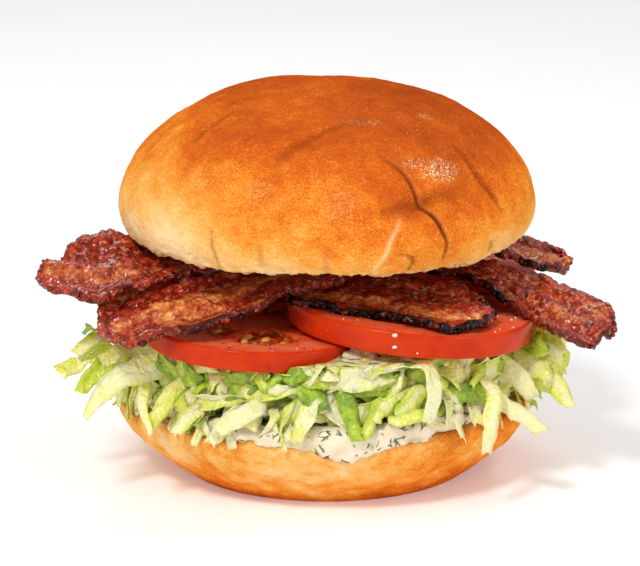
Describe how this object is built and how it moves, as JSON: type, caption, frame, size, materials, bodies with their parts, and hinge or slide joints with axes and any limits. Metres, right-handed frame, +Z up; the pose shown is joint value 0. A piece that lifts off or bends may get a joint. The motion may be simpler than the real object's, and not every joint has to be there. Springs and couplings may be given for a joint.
{
  "type": "blt sandwich",
  "caption": "Bacon, lettuce and tomato sandwich in a round soft bun: flat heel, herb sauce, shredded lettuce, tomato slices, crisp bacon strips and a domed crown.",
  "frame": {"origin": "centre of the heel's flat base, on the surface the sandwich stands on", "axes": "+Z up; -Y is the front, where the sauce shows; +X to the right, the way the bacon strips reach furthest"},
  "size_m": [0.1554, 0.1213, 0.1074],
  "materials": {
    "crown_crust": "baked crust, golden brown, faintly glossy",
    "heel_crust": "soft baked crumb, matt",
    "sauce": "creamy, wet, with chopped herbs",
    "lettuce": "crisp shredded leaf, semi-gloss",
    "tomato": "wet cut flesh and glossy skin",
    "bacon": "fried, greasy, charred at the edges"
  },
  "bodies": {
    "root": {"bun_heel": "heel_crust", "sauce": "sauce", "lettuce": "lettuce", "tomato_front_left": "tomato", "tomato_front_right": "tomato", "tomato_back_right": "tomato", "tomato_back_left": "tomato", "bacon_left_back": "bacon", "bacon_left_front": "bacon", "bacon_middle": "bacon", "bacon_right_front": "bacon", "bacon_right_back": "bacon", "bun_crown": "crown_crust"}
  },
  "joints": []
}
